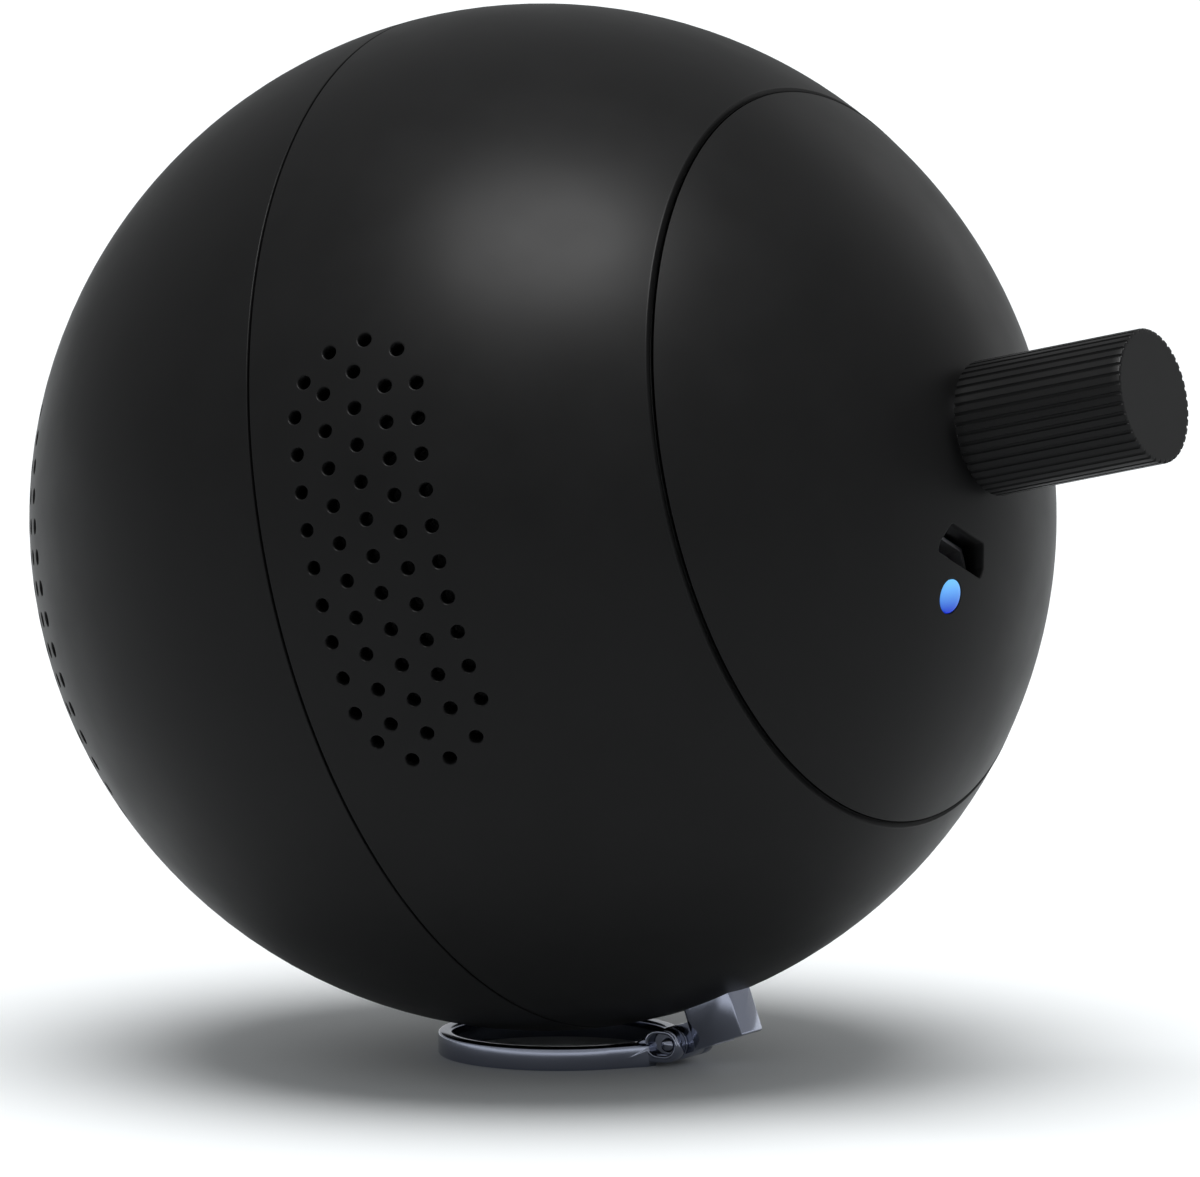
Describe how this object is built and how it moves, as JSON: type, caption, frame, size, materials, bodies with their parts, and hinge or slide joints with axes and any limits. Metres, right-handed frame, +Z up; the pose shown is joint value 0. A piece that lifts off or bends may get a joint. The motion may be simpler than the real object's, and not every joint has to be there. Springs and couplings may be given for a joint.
{
  "type": "wireless ball speaker",
  "caption": "Ball-shaped black wireless speaker with a perforated grille, side vents, a fluted rear knob, a charging inlet, a status light and a hinged chrome ring stand.",
  "frame": {"origin": "on the floor under the middle of the object's box", "axes": "+Z up, -Y towards the grille, +Y towards the knob, X across"},
  "size_m": [0.095, 0.1128, 0.0975],
  "materials": {
    "shell_black": "satin",
    "inner_plastic": "satin",
    "cloth_black": "matte",
    "seal_rubber": "matte",
    "steel": "brushed",
    "chrome": "polished",
    "magnet": "satin",
    "copper": "satin",
    "paper_cone": "matte",
    "battery_wrap": "satin",
    "board_green": "satin",
    "knob_black": "satin",
    "light_blue": "gloss"
  },
  "bodies": {
    "housing": {"front_shell": "shell_black", "grille_cloth": "cloth_black", "driver_gasket": "seal_rubber", "driver_frame": "steel", "driver_screws": "steel", "top_plate": "steel", "magnet_ring": "magnet", "pole_yoke": "steel", "driver_terminals": "inner_plastic", "mid_shell": "shell_black", "front_seal": "seal_rubber", "cap_seal": "seal_rubber", "chassis": "inner_plastic", "chassis_screws": "steel", "battery_pack": "battery_wrap", "battery_strap": "inner_plastic", "strap_screws": "steel", "main_board": "board_green", "board_screws": "steel", "board_chips": "inner_plastic", "encoder_housing": "steel", "encoder_bushing": "steel", "encoder_nut": "steel", "rear_cap": "shell_black", "usb_socket": "steel", "usb_tongue": "inner_plastic", "status_led": "light_blue", "light_guide": "light_blue", "speaker_leads": "seal_rubber", "battery_leads": "seal_rubber", "hinge_bracket": "chrome", "bracket_screw": "steel", "right_radiator_frame": "inner_plastic", "right_side_mesh": "cloth_black", "left_radiator_frame": "inner_plastic", "left_side_mesh": "cloth_black"},
    "ring": {"ring_stand": "chrome", "hinge_pin": "chrome"},
    "encoder_core": {"encoder_rotor": "inner_plastic"},
    "knob_and_shaft": {"knob": "knob_black", "encoder_shaft": "steel"},
    "driver_moving_parts": {"driver_cone": "paper_cone", "dust_cap": "paper_cone", "voice_coil": "copper", "driver_surround": "seal_rubber", "driver_spider": "paper_cone"},
    "right_radiator": {"right_radiator_plate": "steel", "right_radiator_surround": "seal_rubber"},
    "left_radiator": {"left_radiator_plate": "steel", "left_radiator_surround": "seal_rubber"}
  },
  "joints": [
    {"name": "ring_fold", "type": "hinge", "parent": "housing", "child": "ring", "pos_m": [0, 0.00595, 0.0021], "axis": [1, 0, 0], "range_deg": [0, 115]},
    {"name": "knob_turn", "type": "hinge", "parent": "housing", "child": "encoder_core", "pos_m": [0, -0.0089, 0.05], "axis": [0, 0.9732, 0.23], "continuous": true},
    {"name": "knob_press", "type": "slide", "parent": "encoder_core", "child": "knob_and_shaft", "axis": [0, -0.9732, -0.23], "range_m": [0, 0.0005], "stiffness_N_per_m": 3000},
    {"name": "cone_travel", "type": "slide", "parent": "housing", "child": "driver_moving_parts", "axis": [0, -0.9732, -0.23], "range_m": [-0.001, 0.001], "stiffness_N_per_m": 1000, "deforming": ["driver_surround", "driver_spider"]},
    {"name": "right_radiator_travel", "type": "slide", "parent": "housing", "child": "right_radiator", "axis": [0.9813, 0.1874, 0.0443], "range_m": [-0.001, 0.001], "stiffness_N_per_m": 800, "deforming": ["right_radiator_surround"]},
    {"name": "left_radiator_travel", "type": "slide", "parent": "housing", "child": "left_radiator", "axis": [-0.9813, 0.1874, 0.0443], "range_m": [-0.001, 0.001], "stiffness_N_per_m": 800, "deforming": ["left_radiator_surround"]}
  ]
}
